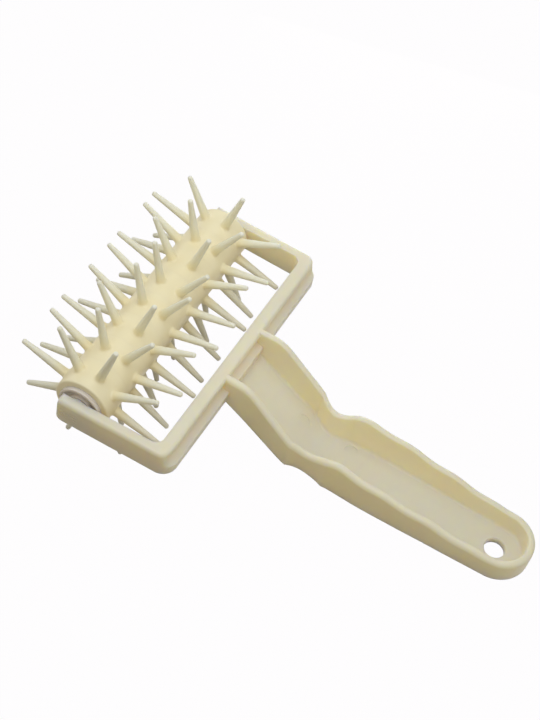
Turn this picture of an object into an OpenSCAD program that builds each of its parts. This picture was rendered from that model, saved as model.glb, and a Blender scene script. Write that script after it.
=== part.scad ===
// Dough docker: a roller of spiked rings, turning in a one-piece handle.
// It lies on its spikes and on the flat back of the handle, with the hollow of the handle up.
// Millimetres. The handle points along +X, the axle lies along Y, and Z is up.
// The origin is on the surface that the tool lies on, under the middle of its length and width.

/* [Spikes] */
// Distance from the axle to the end of a spike
spike_reach = 31.5; // [26:0.1:38]
// Diameter of a spike at its root
spike_root_d = 3.65; // [2.6:0.05:4.4]
// Diameter of a spike at its blunt end
spike_tip_d = 2; // [1.8:0.05:2.6]
// Radius of the round on a spike's end
spike_tip_r = 0.8; // [0.1:0.05:0.85]
// Spread of the small fillet where a spike leaves its ring
spike_flare = 0.8; // [0.2:0.05:1]

/* [Rings] */
// Width of one ring along the axle
ring_w = 13; // [9:0.5:18]
// Outside diameter of the plain body of a ring
ring_d = 22.4; // [21:0.1:28]
// Chamfer on the rims of a ring
ring_chamfer = 0.1; // [0.05:0.05:0.5]
// Distance across the flats of the hexagonal core
core_af = 13; // [12:0.1:14]
// Diameter of the bore through the core
core_bore_d = 9; // [8:0.1:10]
// Play between the core and the hexagonal hole of a ring, on each side
core_play = 0.05; // [0.02:0.01:0.1]

/* [End bushes] */
// Diameter of the collar that holds the rings on the core
collar_d = 17.4; // [16:0.1:20]
// Height of the collar beyond the last ring
collar_h = 1.7; // [1.5:0.1:3]
// Width of the rim round the collar's outer face
collar_rim_w = 1; // [0.6:0.1:1.4]
// Diameter of the hub that runs against the boss on the arm
hub_d = 10.4; // [9:0.1:11]
// Depth of the recess between the hub and the rim
recess_d = 1.2; // [0.4:0.1:1.2]
// Length of the plug that sits in the core
plug_l = 12; // [8:0.5:20]
// Play between the plug and the bore of the core, on the radius
plug_play = 0.02; // [0.01:0.01:0.05]
// Play between a pivot pin and its bush, on the radius
pin_play = 0.05; // [0.02:0.01:0.1]
// Depth of the bush's hole beyond the end of the pin
pin_end_play = 0.8; // [0.3:0.1:2]

/* [Yoke] */
// Height of the top of the yoke above the axle
yoke_top = 5; // [4:0.1:7]
// Depth of the underside of the yoke below the axle
yoke_low = 6.6; // [5:0.1:8]
// Thickness of an arm
arm_t = 4.2; // [3:0.1:6]
// Length of an arm beyond the axle
arm_nose = 6.2; // [5:0.1:10]
// Radius of the lower corner at the end of an arm
nose_r = 2.5; // [1:0.1:4]
// Angle at which each arm leans outwards
arm_splay = 1.08; // [0:0.02:2]
// Room between the spikes and the bar across the back
bar_gap = 2.5; // [1.5:0.1:8]
// Depth of the bar from front to back
bar_depth = 7.5; // [6.5:0.1:10]
// Outside corner radius of the yoke, seen from above
corner_out_r = 6; // [4:0.1:7]
// Inside corner radius of the yoke, seen from above
corner_in_r = 3.5; // [1.5:0.1:5]
// Setback of the bar's top flange from its bottom flange
lip_set = 2.2; // [0.5:0.1:3]
// Pull of the hollow between the two flanges, twice its depth
groove_pull = 7.2; // [4:0.1:8]
// Height of the bottom flange above the underside
flange_h = 4.6; // [3:0.1:5.5]
// Radius along the outer top edge of the yoke
edge_top_r = 1.8; // [0.5:0.1:2]
// Radius along the outer bottom edge of the yoke
edge_low_r = 0.8; // [0.4:0.1:1.2]
// Break of the inner edges of the yoke
edge_in = 0.4; // [0.2:0.05:0.6]

/* [Pivots] */
// Diameter of a pivot pin
pin_d = 6; // [4:0.1:7]
// Length of a pivot pin beyond its boss
pin_l = 4.6; // [3:0.1:7]
// Chamfer on a pivot pin's end
pin_chamfer = 0.5; // [0.2:0.1:1]
// Diameter of the boss at the root of a pin
boss_d = 10; // [8:0.1:11]
// Height of the boss above the arm
boss_h = 0.5; // [0.3:0.05:1]
// Play between a boss and the collar
end_play = 0.25; // [0.1:0.05:0.6]

/* [Crank] */
// Half width across the rims where the crank leaves the bar
crank_half_w = 14.9; // [13:0.1:18]
// Growth of that half width towards the grip, per millimetre
crank_flare = 0.022; // [0:0.002:0.04]
// Length of the level rims behind the front face of the bar
crank_level_l = 14.5; // [10:0.5:20]
// Slope of the falling rims
crank_rim_slope = 39; // [34:0.5:42]
// Slope of the underside
crank_low_slope = 31.3; // [28:0.5:34]
// Drop of the crank's rims below the top of the yoke
crank_step = 0.1; // [0.05:0.05:0.5]

/* [Waist] */
// Half width across the rims at the start of the flat back, before the waist is scooped out
neck_half_w = 15.2; // [14:0.05:16]
// Fall of that half width towards the grip, per millimetre
neck_taper = 0.1; // [0.05:0.005:0.15]
// Distance from the start of the flat back to the deepest place of the scoops
scoop_from_knee = 2; // [1:0.5:5]
// Length of a scoop in front of its deepest place
scoop_front = 6.2; // [4:0.1:9]
// Length of a scoop behind its deepest place
scoop_rear = 9.4; // [6:0.1:12]
// Depth of a scoop at the rim
scoop_top_d = 1.7; // [0:0.1:2.4]
// Depth of a scoop at the foot of the wall
scoop_foot_d = 2.6; // [0:0.1:3]
// Distance from the start of the flat back to the lowest place of the rims
waist_from_knee = 3; // [1:0.5:6]
// Height of the rims at the waist, before rounding
waist_h = 12.8; // [11:0.1:14]
// Slope with which the rims rise from the waist to the grip
waist_rise = 29; // [20:1:35]

/* [Grip] */
// Length of the flat back up to the centre of the round end
grip_l = 81.3; // [75:0.5:110]
// Half width across the rims where the grip is widest
grip_half_w = 14.5; // [13.5:0.05:16]
// Distance from the start of the flat back to the widest place of the grip
belly_from_knee = 29.6; // [24:0.2:40]
// Growth of the half width towards that place, per millimetre
grip_swell = 0.035; // [0.01:0.005:0.06]
// Half width across the rims at the round end
end_half_w = 13; // [12:0.05:14.5]
// Height of the first finger crest above the back
crest_h = 19.1; // [17:0.1:22]
// Distance from the start of the flat back to the first crest
crest_from_knee = 16.1; // [14:0.1:18]
// Distance from one finger crest to the next
wave_pitch = 19.6; // [17:0.1:22]
// Depth of the hollow between two crests
wave_depth = 0.9; // [0:0.1:1.5]
// Fall of the crests towards the end, per millimetre
crest_fall = 0.117; // [0.06:0.001:0.13]
// Height of the rim round the end
end_h = 11.9; // [10:0.1:14]

/* [Walls] */
// Thickness of the walls of the trough
wall_t = 3; // [2.4:0.1:3.4]
// Thickness of the floor of the trough
floor_t = 3; // [2:0.1:4]
// Lean of the walls' outer faces, sideways per millimetre of height, less round the end
out_draft = 0.06; // [0:0.005:0.08]
// Lean of the walls' inner faces, sideways per millimetre of height
in_draft = 0.01; // [0.005:0.005:0.05]
// Radius along the rims, up to half the thickness of the walls
rim_r = 1.4; // [0.4:0.05:1.6]
// Radius along the bottom edges
bottom_r = 2; // [1:0.1:2.4]
// Radius where the walls meet the floor
floor_r = 1.6; // [0.5:0.1:2.5]

/* [Hanging hole] */
// Diameter of the hole for a hook
hole_d = 8.4; // [5:0.1:10]
// Distance from the centre of the round end forward to the hole
hole_set = 0.7; // [0:0.1:10]

/* [Hidden] */
rings = 8;
spikes = 8;
ivory = [0.86, 0.83, 0.72];
dark_ivory = [0.80, 0.74, 0.60];
round_fn = 64;

// Angles of the two ways in which a ring sits on the core, 15 degrees apart, because the
// hexagon turns by 60 degrees and the spikes by 45. Half of that either side of straight
// down lets every ring stand on a spike.
spike_turn = 360 / spikes;
stagger = 60 - spike_turn;
turn_a = 2 * stagger;
turn_b = stagger;
// The order of the two ways, from the near end
ring_turns = [turn_a, turn_b, turn_a, turn_b, turn_b, turn_a, turn_b, turn_a];

// Height of the axle over the surface, from the lowest point of a rounded spike end
stand_z = -(
    (spike_reach - spike_tip_r) * cos(stagger)
    + (spike_tip_d / 2 - spike_tip_r) * sin(stagger)
    + spike_tip_r
);

// Places along the axle
stack_half = rings * ring_w / 2;
collar_face = stack_half + collar_h;
boss_face = collar_face + end_play;
arm_in_y = boss_face + boss_h;
arm_out_y = arm_in_y + arm_t;
core_bore_r = core_bore_d / 2;

// Places along X, from the axle
bar_x = spike_reach + bar_gap;
bar_back = bar_x + bar_depth;
// The trough starts inside the bar
trough_set = 0.6;
crank_x = bar_x + trough_set;
knee_x = crank_x + (-yoke_low - stand_z) / tan(crank_low_slope);
waist_x = knee_x + waist_from_knee;
crest_x = knee_x + crest_from_knee;
end_x = knee_x + grip_l;
tail_x = end_x + end_half_w;
belly_x = knee_x + belly_from_knee;
scoop_x = knee_x + scoop_from_knee;
hole_x = end_x - hole_set;

// Lengths over which the lines of the handle are rounded into each other
heel_blend = 4;
valley_blend = 6;
crest_blend = 2;
shoulder_blend = 1.6;
tail_blend = 0.6;
plan_blend = 0.5;

// The axle as seen from the origin of the part
axle = [(-stand_z - tail_x) / 2, 0, -stand_z];

// The greater of two values, rounded over where they come within k of each other
function soft_max(a, b, k) = max(a, b) + pow(max(k - abs(a - b), 0) / k, 2) * k / 4;
// The lesser of two values, rounded in the same way
function soft_min(a, b, k) = -soft_max(-a, -b, k);
// A rise from 0 to 1 with level ends
function ease(t) = let (s = min(max(t, 0), 1)) s * s * (3 - 2 * s);
// Two triangles over four corners, leaving out one that has no area
function quad(a, b, c, d) = concat(
    (a == b || b == c || c == a) ? [] : [[a, c, b]],
    (a == c || c == d || d == a) ? [] : [[a, d, c]]
);

// Underside of the handle: a slope from the bar, then the flat back
function back_z(x) = soft_max(
    -yoke_low - (x - crank_x) * tan(crank_low_slope),
    stand_z,
    heel_blend
);
// Floor of the trough, one thickness above the underside
function floor_z(x) = soft_max(
    -yoke_low - (x - crank_x) * tan(crank_low_slope) + floor_t / cos(crank_low_slope),
    stand_z + floor_t,
    heel_blend
);
// Finger crests and the hollows between them
function wave_z(x) = stand_z + crest_h - (x - crest_x) * crest_fall
    - wave_depth * (1 - cos((x - crest_x) * 360 / wave_pitch)) / 2;
// Rims: level, down the crank, up from the waist, along the finger crests and round the end
function rim_z(x) = soft_min(
    yoke_top - crank_step,
    soft_max(
        yoke_top - (x - bar_x - crank_level_l) * tan(crank_rim_slope),
        soft_min(
            stand_z + waist_h + (x - waist_x) * tan(waist_rise),
            soft_max(wave_z(x), stand_z + end_h, tail_blend),
            crest_blend
        ),
        valley_blend
    ),
    shoulder_blend
);
// Half width across the rims: the crank, its neck down to the waist, and the grip
function half_w(x) = soft_min(
    crank_half_w + (x - bar_back) * crank_flare,
    soft_max(
        neck_half_w - (x - knee_x) * neck_taper,
        soft_min(
            grip_half_w - (belly_x - x) * grip_swell,
            end_half_w + (end_x - x) * (grip_half_w - end_half_w) / (end_x - belly_x),
            plan_blend
        ),
        plan_blend
    ),
    plan_blend
);
// How far the scoop is cut in at x, from 0 to 1
function scoop(x) = max(0, 1 - pow((x - scoop_x) / (x < scoop_x ? scoop_front : scoop_rear), 2));

// One wall of the trough as [inward, height] pairs, from the bottom edge over the rim to the floor.
// cut is how far the scoop is cut in there, and lean is the draft of the outer face.
function wall_profile(low, bed, top, cut, lean) = let (
    rim = min(rim_r, 0.48 * wall_t),
    out_low = lean * (top - low),
    in_low = wall_t + in_draft * (top - bed),
    pairs = concat(
        [for (a = [0 : 30 : 90]) [
            out_low + bottom_r - bottom_r * sin(a),
            low + bottom_r - bottom_r * cos(a)
        ]],
        [for (a = [0 : 30 : 90]) [rim - rim * cos(a), top - rim + rim * sin(a)]],
        [for (a = [0 : 30 : 90]) [wall_t - rim + rim * sin(a), top - rim + rim * cos(a)]],
        [for (a = [0 : 30 : 90]) [
            in_low + floor_r - floor_r * cos(a),
            bed + floor_r - floor_r * sin(a)
        ]]
    )
) [for (p = pairs) let (down = (top - p[1]) / (top - low))
    [p[0] + cut * (scoop_top_d + (scoop_foot_d - scoop_top_d) * down), p[1]]];
wall_n = 16;

// Places along X where the trough has a section, closer together along the scoops
scoop_start = scoop_x - scoop_front;
scoop_end = scoop_x + scoop_rear;
places = concat(
    [for (i = [0 : 9]) crank_x + (scoop_start - crank_x) * i / 10],
    [for (i = [0 : 9]) scoop_start + (scoop_end - scoop_start) * i / 10],
    [for (i = [0 : 26]) scoop_end + (end_x - scoop_end) * i / 26]
);
// Stations along one side of the trough, as [centre x, angle round the end]
stations = concat([for (x = places) [x, 0]], [for (a = [10 : 10 : 90]) [end_x, a]]);
side_n = len(stations);
straight_n = len(places);
ring_n = 2 * side_n - 1;

// The wall of station k, on the far side for the first half and on the near side after it
function wall_points(k) = let (
    s = stations[k < side_n ? k : ring_n - 1 - k],
    side = k < side_n ? 1 : -1,
    r = s[1] > 0 ? end_half_w : half_w(s[0]),
    x = s[0] + r * sin(s[1]),
    lean = out_draft * cos(s[1])
) [for (p = wall_profile(back_z(x), floor_z(x), rim_z(x), scoop(s[0]), lean)) [
    s[0] + (r - p[0]) * sin(s[1]),
    side * (r - p[0]) * cos(s[1]),
    p[1]
]];

// The trough of the handle, lofted along its rim from the bar round the end and back
module trough() {
    points = concat(
        [for (k = [0 : ring_n - 1]) each wall_points(k)],
        [for (k = [0 : straight_n - 1]) [stations[k][0], 0, back_z(stations[k][0])]],
        [for (k = [0 : straight_n - 1]) [stations[k][0], 0, floor_z(stations[k][0])]]
    );
    function spine(k) = min(k, ring_n - 1 - k, straight_n - 1);
    // Column 0 is the middle of the underside and the last column is the middle of the floor
    function at(k, c) = c == 0 ? ring_n * wall_n + spine(k)
        : c == wall_n + 1 ? ring_n * wall_n + straight_n + spine(k)
        : k * wall_n + c - 1;
    sides = [for (k = [0 : ring_n - 2], c = [0 : wall_n])
        each quad(at(k, c), at(k, c + 1), at(k + 1, c + 1), at(k + 1, c))];
    front = concat(
        [for (c = [0 : wall_n + 1]) at(0, c)],
        [for (c = [wall_n : -1 : 1]) at(ring_n - 1, c)]
    );
    polyhedron(points = points, faces = concat(sides, [front]), convexity = 6);
}

// One cross-section of the yoke, from its outer face at o to its inner face at i.
// low is its underside, and g, from 0 to 1, is how deep the hollow of the bar shows.
function yoke_section(o, i, low, g) = let (
    t = norm(i - o),
    n = (i - o) / t,
    lip = g * lip_set,
    start = yoke_top - edge_top_r,
    stop = -yoke_low + flange_h,
    pairs = concat(
        [for (a = [0 : 30 : 90]) [
            lip + edge_top_r - edge_top_r * sin(a),
            start + edge_top_r * cos(a)
        ]],
        [for (u = [1 / 6 : 1 / 6 : 1.01]) [
            (1 - u) * (1 - u) * lip + 2 * u * (1 - u) * g * groove_pull,
            start + (stop - start) * u
        ]],
        [for (a = [0 : 45 : 90]) [
            edge_low_r - edge_low_r * cos(a),
            low + edge_low_r - edge_low_r * sin(a)
        ]],
        [[t - edge_in, low], [t, low + edge_in]],
        [[t, yoke_top - edge_in], [t - edge_in, yoke_top]]
    )
) [for (p = pairs) [o[0] + n[0] * p[0], o[1] + n[1] * p[0], p[1]]];

// Outer and inner face of an arm at x, leaning outwards from the bar to the axle
function arm_out(x) = arm_out_y - x * tan(arm_splay);
function arm_in(x) = arm_in_y - x * tan(arm_splay);

// The yoke, lofted from the end of one arm round both corners to the end of the other
module yoke() {
    out_x = bar_back - corner_out_r;
    in_x = bar_x - corner_in_r;
    out_c = [out_x, arm_out(out_x) - corner_out_r];
    in_c = [in_x, arm_in(in_x) - corner_in_r];
    half = concat(
        [for (a = [0 : 22.5 : 90]) let (x = -arm_nose + nose_r * (1 - cos(a)))
            yoke_section([x, arm_out(x)], [x, arm_in(x)], -yoke_low + nose_r * (1 - sin(a)), 0)],
        [for (a = [90 : -9 : 0]) yoke_section(
            out_c + corner_out_r * [cos(a), sin(a)],
            in_c + corner_in_r * [cos(a), sin(a)],
            -yoke_low,
            ease((54 - a) / 36)
        )]
    );
    n = len(half);
    m = len(half[0]);
    sections = concat(
        half,
        [for (k = [n - 1 : -1 : 0]) [for (p = half[k]) [p[0], -p[1], p[2]]]]
    );
    faces = concat(
        [for (k = [0 : 2 * n - 2], c = [0 : m - 1]) let (d = (c + 1) % m)
            each quad(k * m + c, (k + 1) * m + c, (k + 1) * m + d, k * m + d)],
        [[for (c = [m - 1 : -1 : 0]) c]],
        [[for (c = [0 : m - 1]) (2 * n - 1) * m + c]]
    );
    polyhedron(points = [for (s = sections) each s], faces = faces, convexity = 6);
}

// A pivot pin and its boss on the inside of one arm: side is 1 for the far arm, -1 for the near
module pivot(side) {
    rotate([-90 * side, 0, 0]) {
        translate([0, 0, boss_face])
            cylinder(h = boss_h + arm_t / 2, d = boss_d, $fn = round_fn);
        translate([0, 0, boss_face - pin_l + pin_chamfer])
            cylinder(h = pin_l + arm_t / 2, d = pin_d, $fn = round_fn);
        translate([0, 0, boss_face - pin_l])
            cylinder(h = pin_chamfer, d1 = pin_d - 2 * pin_chamfer, d2 = pin_d, $fn = round_fn);
    }
}

// Yoke, crank and grip in one moulding
module frame() {
    color(ivory) translate(axle) difference() {
        union() {
            yoke();
            trough();
            pivot(1);
            pivot(-1);
        }
        translate([hole_x, 0, stand_z - 1])
            cylinder(h = floor_t + 2, d = hole_d, $fn = round_fn);
    }
}

// Hexagonal bar of a given distance across its flats, along Y about the axle
module hex_bar(af, length) {
    rotate([90, 0, 0])
        cylinder(h = length, d = af / cos(30), center = true, $fn = 6);
}

// Hexagonal tube that carries and turns the rings
module roller_core() {
    color(dark_ivory) translate(axle) difference() {
        hex_bar(core_af, 2 * stack_half);
        rotate([90, 0, 0])
            cylinder(h = 2 * stack_half + 2, d = core_bore_d, center = true, $fn = round_fn);
    }
}

// One spike, standing along +Z from the axle
module spike() {
    root_r = spike_root_d / 2;
    tip_r = spike_tip_d / 2;
    foot_r = root_r + spike_flare;
    // The spread foot starts just under the round surface of the ring
    foot_z = sqrt(pow(ring_d / 2, 2) - foot_r * foot_r);
    rotate_extrude($fn = 20) polygon(concat(
        [[0, foot_z - foot_r], [foot_r, foot_z - foot_r]],
        [for (a = [0 : 30 : 90]) [
            foot_r - spike_flare * sin(a),
            foot_z + spike_flare - spike_flare * cos(a)
        ]],
        [for (a = [0 : 30 : 90]) [
            tip_r - spike_tip_r + spike_tip_r * cos(a),
            spike_reach - spike_tip_r + spike_tip_r * sin(a)
        ]],
        [[0, spike_reach]]
    ));
}

// One ring of spikes: i counts from the near end
module star_ring(i) {
    turn = ring_turns[i - 1];
    color(ivory) translate(axle) translate([0, -stack_half + (i - 0.5) * ring_w, 0])
        difference() {
            union() {
                rotate([90, 0, 0]) rotate_extrude($fn = round_fn) polygon([
                    [0, -ring_w / 2],
                    [ring_d / 2 - ring_chamfer, -ring_w / 2],
                    [ring_d / 2, -ring_w / 2 + ring_chamfer],
                    [ring_d / 2, ring_w / 2 - ring_chamfer],
                    [ring_d / 2 - ring_chamfer, ring_w / 2],
                    [0, ring_w / 2]
                ]);
                for (k = [0 : spikes - 1])
                    rotate([0, 90 - turn - k * spike_turn, 0]) spike();
            }
            hex_bar(core_af + 2 * core_play, ring_w + 2);
        }
}

// Flanged bush pressed in one end of the core: side is 1 for the far end, -1 for the near
module end_bush(side) {
    color(dark_ivory) translate(axle) rotate([-90 * side, 0, 0]) difference() {
        union() {
            translate([0, 0, stack_half])
                cylinder(h = collar_h, d = collar_d, $fn = round_fn);
            translate([0, 0, stack_half - plug_l])
                cylinder(h = plug_l + collar_h / 2, r = core_bore_r - plug_play, $fn = round_fn);
        }
        translate([0, 0, boss_face - pin_l - pin_end_play])
            cylinder(h = pin_l + pin_end_play + 1, r = pin_d / 2 + pin_play, $fn = round_fn);
        translate([0, 0, collar_face - recess_d]) difference() {
            cylinder(h = recess_d + 1, d = collar_d - 2 * collar_rim_w, $fn = round_fn);
            translate([0, 0, -1]) cylinder(h = recess_d + 3, d = hub_d, $fn = round_fn);
        }
    }
}

frame();
roller_core();
for (i = [1 : rings])
    star_ring(i);
end_bush(-1);  // end_bush_near
end_bush(1);  // end_bush_far
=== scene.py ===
import bmesh
import bpy
import numpy as np
from mathutils import Matrix, Vector


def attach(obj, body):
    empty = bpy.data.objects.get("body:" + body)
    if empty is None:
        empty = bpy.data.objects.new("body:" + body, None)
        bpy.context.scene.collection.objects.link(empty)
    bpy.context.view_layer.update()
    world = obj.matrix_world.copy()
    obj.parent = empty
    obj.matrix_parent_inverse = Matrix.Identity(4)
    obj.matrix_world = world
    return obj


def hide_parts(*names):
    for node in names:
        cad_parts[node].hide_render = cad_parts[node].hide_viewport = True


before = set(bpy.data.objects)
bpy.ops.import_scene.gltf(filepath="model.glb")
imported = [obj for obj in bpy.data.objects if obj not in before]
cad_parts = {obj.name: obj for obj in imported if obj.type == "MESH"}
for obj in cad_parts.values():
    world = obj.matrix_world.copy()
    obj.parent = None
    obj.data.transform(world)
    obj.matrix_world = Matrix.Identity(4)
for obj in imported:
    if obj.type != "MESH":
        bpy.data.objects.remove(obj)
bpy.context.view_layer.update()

# Roller core. A hexagonal tube, extruded from ivory plastic. The rings slide onto it and it turns
# them together. Its CAD node is kept, because nothing of it shows between the rings and the end
# bushes.


def from_hex(code):
    """Linear colour of an sRGB hex code: sRGB's power curve, undone for each channel."""
    s = np.array([int(code[i : i + 2], 16) for i in (1, 3, 5)]) / 255
    linear = np.where(s <= 0.04045, s / 12.92, ((s + 0.055) / 1.055) ** 2.4)
    return (*linear.tolist(), 1.0)


def add(tree, kind, inputs=None, **settings):
    """Adds one node. settings are its own properties, and inputs gives each socket a value or a
    link."""
    node = tree.nodes.new(kind)
    for name, value in settings.items():
        setattr(node, name, value)
    for name, value in (inputs or {}).items():
        if isinstance(value, bpy.types.NodeSocket):
            tree.links.new(value, node.inputs[name])
        else:
            node.inputs[name].default_value = value
    return node


def ivory_abs(name, pale, deep, roughness, grain, depth, reach=(1.0, 0.84, 0.32)):
    """Satin ivory ABS as it leaves the mould. The plastic lets a little light in, which comes out
    warmer, so hollows and thin walls glow yellow. pale and deep are the two ends of its cloudy
    colour, 18 mm across a cloud. grain is the height in mm of the mould's fine texture, whose
    grains are drawn 0.7 mm across, coarser than real ones, so that they show. depth is how far
    in mm the light goes in, and reach is the share of that depth for red, green and blue."""
    material = bpy.data.materials.new(name)
    material.use_nodes = True
    tree = material.node_tree
    tree.nodes.clear()
    place = add(tree, "ShaderNodeTexCoord").outputs["Object"]
    cloud = add(
        tree,
        "ShaderNodeTexNoise",
        {"Vector": place, "Scale": 1 / 0.018, "Detail": 3.0, "Roughness": 0.55},
    )
    colour = add(tree, "ShaderNodeMix", {"Factor": cloud.outputs["Fac"]}, data_type="RGBA")
    colour.inputs["A"].default_value = from_hex(pale)
    colour.inputs["B"].default_value = from_hex(deep)
    gloss = add(
        tree,
        "ShaderNodeMapRange",
        {
            "Value": cloud.outputs["Fac"],
            "From Min": 0.3,
            "From Max": 0.7,
            "To Min": roughness - 0.03,
            "To Max": roughness + 0.04,
        },
    )
    fine = add(
        tree,
        "ShaderNodeTexNoise",
        {"Vector": place, "Scale": 1 / 0.0007, "Detail": 2.0, "Roughness": 0.6},
    )
    bump = add(
        tree,
        "ShaderNodeBump",
        {"Height": fine.outputs["Fac"], "Strength": 0.35, "Distance": grain / 1000},
    )
    shader = add(
        tree,
        "ShaderNodeBsdfPrincipled",
        {
            "Base Color": colour.outputs["Result"],
            "Roughness": gloss.outputs["Result"],
            "IOR": 1.5,
            "Subsurface Weight": 1.0,
            "Subsurface Radius": reach,
            "Subsurface Scale": depth / 1000,
            "Normal": bump.outputs["Normal"],
        },
    )
    add(tree, "ShaderNodeOutputMaterial", {"Surface": shader.outputs["BSDF"]})
    return material


# A little duller than the moulded pieces.
core_abs = ivory_abs("ivory_abs_core", "#efe7cf", "#e8dec0", 0.45, 0.01, 1.2)
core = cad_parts["roller_core"]
core.data.materials.clear()
core.data.materials.append(core_abs)

# Spiked rings. Eight like mouldings of ivory plastic, threaded on the hexagonal core in two ways
# 15 degrees apart. Each has eight blunt spikes, which taper towards their ends and leave the
# plain body in a small fillet.
axle = np.array([-68.8561, 0.0, 30.5057])
ring_w = 13.0
ring_r = 11.2
ring_edge = 0.015
end_edge = 0.7
hex_hole_w = 13.1
spikes = 8
ring_turns = [30, 15, 30, 15, 15, 30, 15, 30]
spike_reach = 31.5
root_r = 1.825
tip_r = 1.0
tip_round = 0.8
tip_dome = 0.04
root_fillet = 0.9


def merge_points(mesh, gap=2e-6, crease=0.6):
    """Joins points that lie within gap metres of each other, and smooths all edges but those
    sharper than crease radians."""
    b = bmesh.new()
    b.from_mesh(mesh)
    bmesh.ops.remove_doubles(b, verts=b.verts, dist=gap)
    bmesh.ops.recalc_face_normals(b, faces=b.faces)
    b.to_mesh(mesh)
    b.free()
    mesh.polygons.foreach_set("use_smooth", np.ones(len(mesh.polygons), bool))
    mesh.set_sharp_from_angle(angle=crease)
    mesh.update()


def solid(name, points, faces):
    """An object from points in mm about the axle. Its place goes into its mesh, and like points
    are merged."""
    mesh = bpy.data.meshes.new(name)
    mesh.from_pydata(((points + axle) / 1000).tolist(), [], faces)
    merge_points(mesh)
    thing = bpy.data.objects.new(name, mesh)
    bpy.context.scene.collection.objects.link(thing)
    return thing


def piece(name, points, faces, material, body, nodes):
    """A finished piece from such points: it has its plastic, rides on a body and stands for CAD
    nodes."""
    thing = solid(name, points, faces)
    thing.data.materials.append(material)
    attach(thing, body)
    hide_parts(*nodes)


def grid_faces(rows, columns, wrap=False, first=0):
    """Quads over a grid of points that is numbered row by row. wrap joins the last column to the
    first."""
    last = columns if wrap else columns - 1
    r, c = np.meshgrid(np.arange(rows - 1), np.arange(last), indexing="ij")
    d = (c + 1) % columns
    here, above = r * columns, (r + 1) * columns
    quads = np.stack([here + c, here + d, above + d, above + c], -1)
    return (first + quads.reshape(-1, 4)).tolist()


def spike_patch(near_edge, far_edge, around=64):
    """One eighth of a ring's outside with its spike, as loops from the edge of the patch to the
    tip. A loop is a rectangle at the edge and a circle at the spike, and runs on the cylinder
    in between: height = root of (radius squared - sideways squared). Sideways, along, outwards."""
    phi = np.linspace(-0.25, 1.75, around, endpoint=False) * np.pi
    ray = np.stack([np.cos(phi), np.sin(phi)])
    half = ring_w / 2 - np.where(ray[1] < 0, near_edge, far_edge)
    edge = ray / np.abs(ray).max(0) * [0 * phi + np.pi / spikes, half]
    foot_r = root_r + root_fillet
    foot = np.stack([np.arcsin(foot_r * ray[0] / ring_r), foot_r * ray[1]])
    t = (np.linspace(0, 1, 7) ** 0.8)[:, None, None]
    skin = (1 - t) * edge + t * foot
    flat = np.stack([ring_r * np.sin(skin[:, 0]), skin[:, 1], ring_r * np.cos(skin[:, 0])], -1)

    turn = np.linspace(0, np.pi / 2, 7)[1:, None]
    rho = foot_r - root_fillet * np.sin(turn) + 0 * phi
    rise = np.sqrt(ring_r**2 - (rho * ray[0]) ** 2) + root_fillet * (1 - np.cos(turn))
    t = np.linspace(0, 1, 6)[1:-1, None]
    shaft_rho = root_r + (tip_r - root_r) * t + 0 * phi
    shaft_rise = rise[-1] + (spike_reach - tip_round - rise[-1]) * t
    turn = np.linspace(0, np.pi / 2, 6)[:, None]
    round_rho = tip_r - tip_round + tip_round * np.cos(turn) + 0 * phi
    round_rise = spike_reach - tip_dome - tip_round * (1 - np.sin(turn)) + 0 * phi
    t = np.array([[0.6], [0.0]])
    dome_rho = (tip_r - tip_round) * t + 0 * phi
    dome_rise = spike_reach - tip_dome * t**2 + 0 * phi
    rho = np.concatenate([rho, shaft_rho, round_rho, dome_rho])
    rise = np.concatenate([rise, shaft_rise, round_rise, dome_rise])
    tall = np.stack([rho * ray[0], rho * ray[1], rise], -1)
    return np.concatenate([flat, tall])


def spiked_ring(turn, middle, near_edge, far_edge):
    """A whole ring: the spike patch turned to each place, a quarter round at each edge, and the
    two flat sides with the hexagonal hole between them. The hole's radius at an angle is half
    its width over the cosine of the angle from the nearest flat. Its corners lie at 0, 60, 120
    degrees and so on, as the core's do, and the nearest point moves into each."""
    patch = spike_patch(near_edge, far_edge)
    loops, around = patch.shape[:2]
    where = np.radians(turn + np.arange(spikes) * 360 / spikes)[:, None, None]
    side, along, out = patch[..., 0], patch[..., 1], patch[..., 2]
    outside = np.stack(
        [
            out * np.cos(where) - side * np.sin(where),
            middle + along + 0 * where,
            out * np.sin(where) + side * np.cos(where),
        ],
        -1,
    ).reshape(-1, 3)
    faces = []
    for k in range(spikes):
        faces += grid_faces(loops, around, wrap=True, first=k * loops * around)

    step = np.tan(np.linspace(-0.25, 0.25, around // 4, endpoint=False) * np.pi) * np.pi / spikes
    angle = (where.reshape(-1, 1) + step).ravel()
    corners = np.arange(6) * np.pi / 3
    away = (angle[:, None] - corners + np.pi) % (2 * np.pi) - np.pi
    nearest = np.abs(away).argmin(0)
    hole = angle.copy()
    hole[nearest] -= away[nearest, np.arange(6)]
    hexagon = hex_hole_w / 2 / np.cos(hole % (np.pi / 3) - np.pi / 6)
    q = np.linspace(0, np.pi / 2, 6)[:, None]
    far_r, near_r = (ring_r - e * (1 - np.cos(q)) + 0 * angle for e in (far_edge, near_edge))
    far_y, near_y = (ring_w / 2 - e * (1 - np.sin(q)) for e in (far_edge, near_edge))
    radius = np.concatenate([far_r, [hexagon, hexagon], near_r[::-1]])
    along = np.concatenate([far_y, [[ring_w / 2], [-ring_w / 2]], -near_y[::-1]])
    at = np.concatenate([0 * far_r + angle, [hole, hole], 0 * near_r + angle])
    sides = np.stack([radius * np.cos(at), middle + along + 0 * at, radius * np.sin(at)], -1)
    faces += grid_faces(len(radius), len(angle), wrap=True, first=len(outside))
    return np.concatenate([outside, sides.reshape(-1, 3)]), faces


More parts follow.
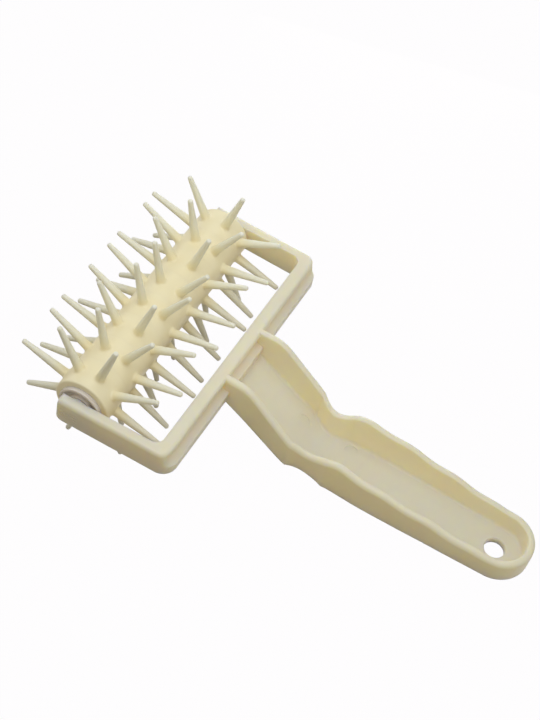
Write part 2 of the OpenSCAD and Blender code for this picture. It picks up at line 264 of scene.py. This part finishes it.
def painted_pale_tips(material, thin, start, stop, least, most):
    """Paints the colour paler towards the tips and warmer in the thick body: painted light, which
    stands in for the warm glow of light that goes deep into a thick body. The colour goes over to
    thin, the painted colour of the tips, and the share of the light that goes in rises from least
    to most, in a smooth step between two distances in mm from the axle."""
    tree = material.node_tree
    shader = tree.nodes["Principled BSDF"]
    body = shader.inputs["Base Color"].links[0].from_socket
    place = add(tree, "ShaderNodeTexCoord").outputs["Object"]
    across = add(
        tree,
        "ShaderNodeVectorMath",
        {0: place, 1: (-axle[0] / 1000, 0.0, -axle[2] / 1000)},
        operation="ADD",
    )
    flat = add(
        tree,
        "ShaderNodeVectorMath",
        {0: across.outputs[0], 1: (1.0, 0.0, 1.0)},
        operation="MULTIPLY",
    )
    radius = add(tree, "ShaderNodeVectorMath", {0: flat.outputs[0]}, operation="LENGTH")
    share = add(
        tree,
        "ShaderNodeMapRange",
        {"Value": radius.outputs["Value"], "From Min": start / 1000, "From Max": stop / 1000},
        interpolation_type="SMOOTHSTEP",
    )
    # Painted light: away from the axle, the cloudy colour goes over to the paler painted tip
    # colour.
    blend = add(tree, "ShaderNodeMix", {"Factor": share.outputs["Result"]}, data_type="RGBA")
    tree.links.new(body, blend.inputs["A"])
    blend.inputs["B"].default_value = from_hex(thin)
    tree.links.new(blend.outputs["Result"], shader.inputs["Base Color"])
    deep = add(
        tree,
        "ShaderNodeMapRange",
        {"Value": share.outputs["Result"], "To Min": least, "To Max": most},
    )
    tree.links.new(deep.outputs["Result"], shader.inputs["Subsurface Weight"])


# Moulded. The thick body is painted warm and the tips paler: painted light for the glow that comes
# out of the thick body.
ring_abs = ivory_abs("ivory_abs_rings", "#fff6d4", "#fcecbc", 0.42, 0.012, 1.8, (1.0, 0.97, 0.85))
painted_pale_tips(ring_abs, "#f6f2dc", 11.0, 20.0, 0.15, 0.85)
rings = len(ring_turns)
for i, turn in enumerate(ring_turns):
    middle = (i + 0.5 - rings / 2) * ring_w
    near_edge = end_edge if i == 0 else ring_edge
    far_edge = end_edge if i == rings - 1 else ring_edge
    points, faces = spiked_ring(turn, middle, near_edge, far_edge)
    node = f"star_ring_{i + 1}"
    piece(f"spiked_ring_{i + 1}", points, faces, ring_abs, "roller", [node])

# End bushes. One flanged bush of ivory plastic in each end of the core, pressed in. Its flange
# holds the rings on the core, and its hollow outer face has a rim, a recess and a hub that
# runs against the boss of the arm.
stack_half = rings * ring_w / 2
collar_h = 1.7
collar_r = 8.7
plug_r = 4.48
plug_l = 12.0
hub_r = 5.2
recess_r = 7.7
recess_d = 1.2
pin_hole_r = 3.05
pin_hole_l = 5.15


def lathe(profile, side, around=96):
    """Turns a closed profile of [radius, distance from the middle] about the axle. side is 1 for
    the far end and -1 for the near one."""
    p = np.array(profile)
    a = np.linspace(0, 2 * np.pi, around, endpoint=False)[:, None]
    ring = np.stack([p[:, 0] * np.cos(a), side * p[:, 1] + 0 * a, p[:, 0] * np.sin(a)], -1)
    ring = np.concatenate([ring, ring[:1]])
    return ring.reshape(-1, 3), grid_faces(around + 1, len(p))


def rounded(profile, breaks):
    """Takes each corner of a profile off by a curve of four chords. It starts and stops at the
    corner's own distance along the two sides, and between them it is (1 - t) squared of the
    start, 2 t (1 - t) of the corner and t squared of the stop."""
    p = np.array(profile, float)
    out = []
    for i, r in enumerate(breaks):
        a, b, c = p[i - 1], p[i], p[(i + 1) % len(p)]
        if r == 0:
            out.append(b[None])
            continue
        u, v = (a - b) / np.linalg.norm(a - b), (c - b) / np.linalg.norm(c - b)
        t = np.linspace(0, 1, 5)[:, None]
        start, stop = b + u * r, b + v * r
        out.append((1 - t) ** 2 * start + 2 * t * (1 - t) * b + t**2 * stop)
    return np.concatenate(out)


# Moulded, greyer and a little smoother than the rings.
bush_abs = ivory_abs("ivory_abs_bushes", "#e6dfd7", "#dbd2c6", 0.4, 0.008, 1.2, (1.0, 0.95, 0.85))
top = stack_half + collar_h
bush_profile = rounded(
    [
        [0, top - pin_hole_l],
        [pin_hole_r, top - pin_hole_l],
        [pin_hole_r, top],
        [hub_r, top],
        [hub_r, top - recess_d],
        [recess_r, top - recess_d],
        [recess_r, top],
        [collar_r, top],
        [collar_r, stack_half],
        [plug_r, stack_half],
        [plug_r, stack_half - plug_l],
        [0, stack_half - plug_l],
    ],
    [0, 0, 0.3, 0.2, 0.2, 0.3, 0.2, 0.4, 0, 0, 0.6, 0],
)
for end, side in (("near", -1), ("far", 1)):
    points, faces = lathe(bush_profile, side)
    name = f"flanged_bush_{end}"
    piece(name, points, faces, bush_abs, "roller", [f"end_bush_{end}"])

# Handle. One moulding of ivory plastic: two arms with their pivot pins, the bar across the back
# with its hollow rear face, the cranked neck, the narrow waist and the grip, an open trough with
# finger waves along its rims and a hole for a hook in its round end.
stand_z = -axle[2]
bar_x = 34.0
bar_back = 41.5
crank_x = 34.6
knee_x = 73.918
end_x = knee_x + 81.3
yoke_top = 5.0
yoke_low = 6.6
wall_t = 3.0
floor_t = 3.0
wall_draft = 0.01
side_draft = 0.06
crank_slope = 31.3
rim_level_l = 14.5
rim_fall_slope = 39
rim_rise_slope = 29
rim_drop = 0.1
rim_rise_set = 3.0
waist_rim_h = 12.8
crest_x = knee_x + 16.1
crest_h = 19.1
crest_fall = 0.117
wave_l = 19.6
wave_d = 0.9
end_rim_h = 11.9
crank_half_w = 14.9
crank_flare = 0.022
neck_half_w = 15.2
neck_taper = 0.1
widest_x = knee_x + 29.6
widest_half_w = 14.5
grip_flare = 0.035
end_half_w = 13.0
scoop_set = 2.0
scoop_front_l = 6.2
scoop_rear_l = 9.4
scoop_rim_d = 1.7
scoop_low_d = 0.9
arm_out_y = 58.65
arm_in_y = 54.45
arm_splay = 1.08
arm_nose = 6.2
nose_r = 2.5
corner_out_r = 6.0
corner_in_r = 3.5
foot_h = 4.6
hollow_d = 7.2
lip_d = 2.2
end_play = 0.25
boss_r = 5.0
boss_l = 2.6
pin_r = 3.0
pin_l = 4.6
hook_hole_r = 4.2
hook_hole_flare = 0.3
hook_hole_set = 0.7
mark_r = 2.7
mark_d = 0.3
line_w = 0.3
line_d = 0.12


def soft_max(a, b, k):
    """The greater of two values, with a parabola over the stretch where they are within k."""
    return np.maximum(a, b) + np.maximum(1 - np.abs(a - b) / k, 0) ** 2 * k / 4


def soft_min(a, b, k):
    """The lesser of two values, rounded in the same way."""
    return -soft_max(-a, -b, k)


def ease(t):
    """A rise from 0 to 1 with level ends: 3 t squared - 2 t cubed."""
    t = np.clip(t, 0, 1)
    return t * t * (3 - 2 * t)


def slope(degrees):
    """Rise for each mm along, at an angle."""
    return np.tan(np.radians(degrees))


def back_z(x):
    """Underside: an even slope down from the bar, then the flat back."""
    return soft_max(-yoke_low - (x - crank_x) * slope(crank_slope), stand_z, 6)


def floor_z(x):
    """Floor of the trough, one thickness above the underside."""
    thick = floor_t / np.cos(np.radians(crank_slope))
    down = -yoke_low - (x - crank_x) * slope(crank_slope) + thick
    return soft_max(down, stand_z + floor_t, 4)


def rim_z(x):
    """Height of the rims: level behind the bar, straight down the crank and up from the waist, a
    falling wave along the fingers, which is a cosine from crest to crest, and level round the
    end."""
    d = x - crest_x
    wave = stand_z + crest_h - d * crest_fall - wave_d * (1 - np.cos(d * 2 * np.pi / wave_l)) / 2
    grip = soft_max(wave, stand_z + end_rim_h, 0.6)
    rise = stand_z + waist_rim_h + (x - knee_x - rim_rise_set) * slope(rim_rise_slope)
    fall = yoke_top - (x - bar_x - rim_level_l) * slope(rim_fall_slope)
    return soft_min(yoke_top - rim_drop, soft_max(fall, soft_min(rise, grip, 2), 6), 3)


def half_w(x):
    """Half width across the rims: straight runs for the crank, which widens, the neck, which
    narrows to the waist, and the grip, which widens and then narrows to the end."""
    crank = crank_half_w + crank_flare * (x - bar_back)
    neck = neck_half_w - neck_taper * (x - knee_x)
    rear = end_half_w + (end_x - x) * (widest_half_w - end_half_w) / (end_x - widest_x)
    grip = soft_min(widest_half_w - (widest_x - x) * grip_flare, rear, 0.5)
    return soft_min(crank, soft_max(neck, grip, 0.5), 0.5)


def waist(x):
    """How far the scoop at the waist is cut in, from 0 to 1: one less the square of the distance
    from its middle over its length on that side."""
    d = x - knee_x - scoop_set
    return np.maximum(0, 1 - (d / np.where(d < 0, scoop_front_l, scoop_rear_l)) ** 2)


def wall_section(low, bed, top, scoop, lean):
    """One wall of the trough, as inward distances and heights, from the underside up the outer
    face, over the rim and down to the floor: four quarter rounds, joined by straight stretches.
    lean is how far the outer face goes in for each mm that it goes down, and the scoop goes
    deeper towards the underside."""
    a = np.linspace(0, np.pi / 2, 9)[:, None]
    edge_r, rim_out_r, rim_in_r, foot_r = 1.6, 1.8, 0.9, 1.6
    out_low = lean * (top - low)
    in_low = wall_t + wall_draft * (top - bed)
    inward = np.concatenate([
        out_low + edge_r * (1 - np.sin(a)),
        0 * low + rim_out_r * (1 - np.cos(a)),
        0 * low + wall_t - rim_in_r * (1 - np.sin(a)),
        in_low + foot_r * (1 - np.cos(a)),
    ])
    height = np.concatenate([
        low + edge_r * (1 - np.cos(a)),
        top - rim_out_r * (1 - np.sin(a)),
        top - rim_in_r * (1 - np.cos(a)),
        bed + foot_r * (1 - np.sin(a)),
    ])
    depth = scoop_rim_d + scoop_low_d * (top - height) / (top - low)
    return inward + scoop * depth, height


def trough():
    """The trough as one surface: its wall's section carried along the far side, round the end
    and back along the near side, and closed over the middle of the underside and the floor."""
    x = np.linspace(crank_x, end_x, 190)
    bend = np.radians(np.linspace(0, 90, 31)[1:])
    centre = np.concatenate([x, 0 * bend + end_x])
    angle = np.concatenate([0 * x, bend])
    r = np.where(angle > 0, end_half_w, half_w(centre))
    reach = centre + r * np.sin(angle)
    lines = back_z(reach), floor_z(reach), rim_z(reach)
    inward, height = wall_section(*lines, waist(centre), side_draft * np.cos(angle))
    out = r - inward
    side = np.stack([centre + out * np.sin(angle), out * np.cos(angle), height], -1)
    under = np.stack([centre, 0 * centre, back_z(centre)], -1)[None]
    bed = np.stack([centre, 0 * centre, floor_z(centre)], -1)[None]
    far = np.concatenate([under, side, bed]).transpose(1, 0, 2)
    near = far[::-1][1:] * [1, -1, 1]
    rows = np.concatenate([far, near])
    n, m = rows.shape[:2]
    front = list(range(m)) + [(n - 1) * m + c for c in range(m - 2, 0, -1)]
    return rows.reshape(-1, 3), [*grid_faces(n, m), front]


def yoke():
    """Arms and bar as one surface: an outer and an inner line are carried from the end of one
    arm round both corners to the end of the other, and the section between them is a top
    with a rounded edge, the hollow as a parabola, and a foot. bend is 90 degrees where a corner
    starts at the arm and 0 at the bar: the hollow opens from 62 to 12, and the lip from 88 to
    8."""
    a = np.radians(np.linspace(0, 90, 9))
    nose = -arm_nose + nose_r * (1 - np.cos(a))
    lean = slope(arm_splay)
    bend = np.linspace(90, 0, 31)
    arc = np.radians(bend)

    def line(arm_y, back, r):
        """Along the arm and round its corner: a straight run and a quarter circle of radius r."""
        c = back - r
        straight = np.stack([nose, arm_y - nose * lean], -1)
        corner = np.stack([c + r * np.cos(arc), arm_y - c * lean - r + r * np.sin(arc)], -1)
        return np.concatenate([straight, corner])

    outer = line(arm_out_y, bar_back, corner_out_r)
    inner = line(arm_in_y, bar_x, corner_in_r)
    low = -yoke_low + np.concatenate([nose_r * (1 - np.sin(a)), 0 * bend])[:, None]
    g = np.concatenate([0 * a, ease((62 - bend) / 50)])[:, None]
    across = inner - outer
    t = np.linalg.norm(across, axis=1)[:, None]
    q = np.linspace(0, np.pi / 2, 9)
    u = np.linspace(0, 1, 17)[1:]
    lip = lip_d * np.concatenate([0 * a, ease((88 - bend) / 80)])[:, None]
    edge_r, foot_r, inner_r = 1.8, 0.8, 0.4
    start, stop = yoke_top - edge_r, -yoke_low + foot_h
    into = np.concatenate([
        lip + edge_r - edge_r * np.sin(q),
        (1 - u) ** 2 * lip + 2 * u * (1 - u) * g * hollow_d,
        0 * g + foot_r - foot_r * np.cos(q),
        t - inner_r + inner_r * np.sin(q),
        t - inner_r + inner_r * np.cos(q),
    ], 1)
    height = np.concatenate([
        0 * g + start + edge_r * np.cos(q),
        0 * g + start + (stop - start) * u,
        low + foot_r - foot_r * np.sin(q),
        low + inner_r - inner_r * np.cos(q),
        0 * g + yoke_top - inner_r + inner_r * np.sin(q),
    ], 1)
    flat = outer[:, None] + (across / t)[:, None] * into[..., None]
    half = np.concatenate([flat, height[..., None]], -1)
    rows = np.concatenate([half, half[::-1] * [1, -1, 1]])
    n, m = rows.shape[:2]
    ends = [list(range(m)), [(n - 1) * m + c for c in range(m)]]
    return rows.reshape(-1, 3), grid_faces(n, m, wrap=True) + ends


def pivot(side):
    """A pivot pin with its boss, turned about the axle, rooted inside the arm. The boss leaves
    the bush its end play."""
    face = stack_half + collar_h + end_play
    tip, root = face - pin_l, face + boss_l
    outline = [[0, tip], [pin_r, tip], [pin_r, face], [boss_r, face], [boss_r, root], [0, root]]
    return lathe(rounded(outline, [0, 0.5, 0, 0.15, 0, 0]), side)


def hook_hole():
    """The hole for a hook, as a plug turned about an upright line, flared where it leaves the
    floor of the trough. It stands out 1 mm below the back and 2 mm above the floor."""
    r, wide, neck = hook_hole_r, hook_hole_r + hook_hole_flare, floor_t - hook_hole_flare
    rho = np.array([0, r, r, wide, wide, 0])
    up = np.array([-1, -1, neck, floor_t, floor_t + 2, floor_t + 2])
    a = np.linspace(0, 2 * np.pi, 97)[:, None]
    x = end_x - hook_hole_set + rho * np.cos(a)
    ring = np.stack([x, rho * np.sin(a), stand_z + up + 0 * a], -1)
    return ring.reshape(-1, 3), grid_faces(len(a), len(rho))


def ejector_marks():
    """Two shallow discs in the floor of the trough, where ejector pins pushed on the moulding:
    each is a turned plug whose ends follow the slope of the floor there."""
    points, faces = [], []
    a = np.linspace(0, 2 * np.pi, 49)[:, None]
    rho = np.array([0.0, mark_r, mark_r, 0.0])
    up = np.array([-mark_d, -mark_d, 2.0, 2.0])
    for x, y in ((knee_x - 6.5, 5.4), (knee_x + 14.4, 6.8)):
        fall = floor_z(x + 0.5) - floor_z(x - 0.5)
        ring = np.stack([x + rho * np.cos(a), y + rho * np.sin(a), 0 * a + up], -1)
        ring[..., 2] += floor_z(x) + (ring[..., 0] - x) * fall
        faces += grid_faces(len(a), len(rho), first=len(a) * len(rho) * len(points))
        points.append(ring.reshape(-1, 3))
    return np.concatenate(points), faces


def mould_lines():
    """Three fine grooves in the outer face of the near arm, as boxes that follow its lean and
    stand out 0.3 mm from it."""
    high = line_w / 2
    x, dy, dz = np.meshgrid([-5.6, 2.4], [-0.3, line_d], [-high, high], indexing="ij")
    y = x * slope(arm_splay) - arm_out_y + dy
    box = [[0, 1, 3, 2], [4, 6, 7, 5], [0, 4, 5, 1], [2, 3, 7, 6], [0, 2, 6, 4], [1, 5, 7, 3]]
    points, faces = [], []
    for k, z in enumerate((0.4, -1.1, -2.6)):
        points.append(np.stack([x, y, z + dz], -1).reshape(-1, 3))
        faces += (np.array(box) + 8 * k).tolist()
    return np.concatenate(points), faces


# Moulded. Light goes deepest into this one, so that its hollows glow warm.
handle_abs = ivory_abs("ivory_abs_handle", "#faeed5", "#f3e4c8", 0.38, 0.01, 7.0)
handle = solid("one_piece_handle", *yoke())
tools = [
    (solid("trough_blank", *trough()), "UNION"),
    (solid("pivot_blank_near", *pivot(-1)), "UNION"),
    (solid("pivot_blank_far", *pivot(1)), "UNION"),
    (solid("hole_blank", *hook_hole()), "DIFFERENCE"),
    (solid("ejector_blank", *ejector_marks()), "DIFFERENCE"),
    (solid("line_blank", *mould_lines()), "DIFFERENCE"),
]
for tool, operation in tools:
    cut = handle.modifiers.new(tool.name, "BOOLEAN")
    cut.object, cut.operation, cut.solver = tool, operation, "EXACT"
seen_now = bpy.context.evaluated_depsgraph_get()
joined = bpy.data.meshes.new_from_object(handle.evaluated_get(seen_now))
handle.modifiers.clear()
for tool, operation in tools:
    bpy.data.objects.remove(tool)
handle.data = joined
# The wider gap closes the slivers that the cuts leave.
merge_points(joined, gap=2e-5)
joined.materials.clear()
joined.materials.append(handle_abs)
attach(handle, "handle")
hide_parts("frame")

# Studio. A plain pale floor that goes on as the backdrop, a warm dim surround, and soft lamps of
# cool white: one high in front, one at each side, and two small weak ones behind and above the
# roller. The floor shows almost white to the camera and keeps the tool's soft shadow.
scene = bpy.context.scene
scene.view_settings.view_transform = "Standard"


def seen_rays(tree):
    """1 for a ray that shows the white background, straight, in gloss or through something, and 0
    for one that carries light to the tool: the greatest of the three marks."""
    rays = add(tree, "ShaderNodeLightPath").outputs
    pair = {0: rays["Is Camera Ray"], 1: rays["Is Glossy Ray"]}
    two = add(tree, "ShaderNodeMath", pair, operation="MAXIMUM")
    rest = {0: two.outputs[0], 1: rays["Is Transmission Ray"]}
    return add(tree, "ShaderNodeMath", rest, operation="MAXIMUM").outputs[0]


floor_half = 6.0
floor_corners = floor_half * np.array([(-1, -1, 0), (1, -1, 0), (1, 1, 0), (-1, 1, 0)])
floor_mesh = bpy.data.meshes.new("studio_floor")
floor_mesh.from_pydata(floor_corners.tolist(), [], [(0, 1, 2, 3)])
floor = bpy.data.objects.new("studio_floor", floor_mesh)
scene.collection.objects.link(floor)
paper = bpy.data.materials.new("white_paper")
paper.use_nodes = True
tree = paper.node_tree
tree.nodes.clear()
# The share of white that the camera sees. The rest stays matt and holds the shadow.
white_share = 0.97
seen = add(tree, "ShaderNodeMath", {0: seen_rays(tree), 1: white_share}, operation="MULTIPLY")
matt = add(tree, "ShaderNodeBsdfDiffuse", {"Color": from_hex("#968c7a")})
glow = add(tree, "ShaderNodeEmission", {"Color": from_hex("#fefdfe"), "Strength": 1.025})
both = {0: seen.outputs[0], 1: matt.outputs[0], 2: glow.outputs[0]}
surface = add(tree, "ShaderNodeMixShader", both).outputs[0]
add(tree, "ShaderNodeOutputMaterial", {"Surface": surface})
floor_mesh.materials.append(paper)

world = bpy.data.worlds.new("white_surround")
scene.world = world
world.use_nodes = True
tree = world.node_tree
tree.nodes.clear()
sky = add(tree, "ShaderNodeBackground", {"Color": from_hex("#fbf0da"), "Strength": 0.33})
white = add(tree, "ShaderNodeBackground", {"Color": from_hex("#fefdfe"), "Strength": 1.0})
both = {0: seen_rays(tree), 1: sky.outputs[0], 2: white.outputs[0]}
surface = add(tree, "ShaderNodeMixShader", both).outputs[0]
add(tree, "ShaderNodeOutputWorld", {"Surface": surface})


def soft_lamp(name, place, size, watts):
    """A square lamp at a place in metres, turned to face the middle of the tool."""
    data = bpy.data.lights.new(name, "AREA")
    data.size, data.energy = size, watts
    data.color = from_hex("#ebf3ff")[:3]
    lamp = bpy.data.objects.new(name, data)
    lamp.location = place
    lamp.rotation_mode = "QUATERNION"
    lamp.rotation_quaternion = Vector(place).to_track_quat("Z", "Y")
    scene.collection.objects.link(lamp)


soft_lamp("lamp_front", (0.12, -0.45, 1.1), 1.0, 2.9)
soft_lamp("lamp_right", (1.1, 0.1, 0.5), 1.2, 2.2)
soft_lamp("lamp_left", (-1.1, 0.2, 0.5), 1.2, 2.9)
soft_lamp("lamp_behind", (-0.06, 0.22, 0.04), 0.15, 0.15)
soft_lamp("lamp_over_roller", (-0.05, 0.0, 0.28), 0.2, 0.2)

# Camera. It stands where the photograph was taken from, in front of the near end of the roller
# and high above it, and looks down along the tool.
camera_data = bpy.data.cameras.new("camera")
# The focal length in pixels of the picture, whose longer side the sensor spans.
picture_h, focal_px = 720, 1625.17
camera_data.sensor_width = 36.0
camera_data.lens = focal_px / picture_h * camera_data.sensor_width
camera_data.clip_start, camera_data.clip_end = 0.01, 50
camera = bpy.data.objects.new("camera", camera_data)
# The picture's right, down and forward directions.
right = (0.86274559, 0.48097452, 0.15599219)
down = (0.4714924, -0.6537965, -0.59181505)
ahead = (-0.18266081, 0.58413495, -0.79083588)
turned = Matrix([(right[i], -down[i], -ahead[i]) for i in range(3)]).to_4x4()
turned.translation = (0.09115, -0.35449, 0.51928)
camera.matrix_world = turned
scene.collection.objects.link(camera)
scene.camera = camera
